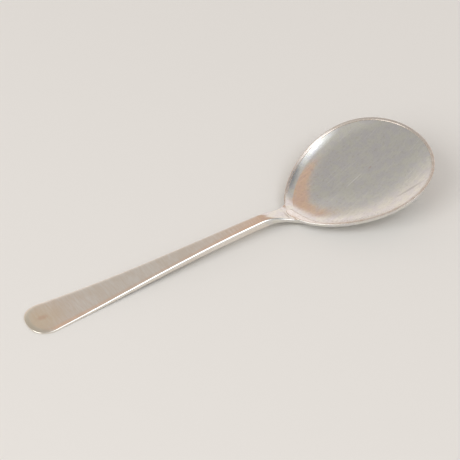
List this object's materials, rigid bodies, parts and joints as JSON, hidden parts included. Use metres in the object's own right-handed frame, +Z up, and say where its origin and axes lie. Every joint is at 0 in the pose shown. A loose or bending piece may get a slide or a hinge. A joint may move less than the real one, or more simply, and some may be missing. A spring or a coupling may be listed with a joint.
{
  "type": "serving spoon",
  "caption": "Silver serving piece with a broad egg-shaped dished bowl, an applied rim wire and a flat tapering handle with a rounded end, for cake or soft desserts.",
  "frame": {"origin": "centre of the bounding box, at the height of the table that the piece lies on", "axes": "+X from the end of the handle to the tip of the bowl, +Y across, +Z up out of the bowl"},
  "size_m": [0.2, 0.0598, 0.0174],
  "materials": {
    "bowl_silver": "worn satin silver with a mottled patina",
    "rim_silver": "drawn silver wire, polished by wear",
    "rim_solder": "tarnished hard solder",
    "handle_silver": "satin silver, finely brushed across",
    "neck_solder": "dressed hard solder"
  },
  "bodies": {
    "root": {"bowl": "bowl_silver", "rim_wire": "rim_silver", "rim_solder": "rim_solder", "handle": "handle_silver", "neck_solder": "neck_solder"}
  },
  "joints": []
}
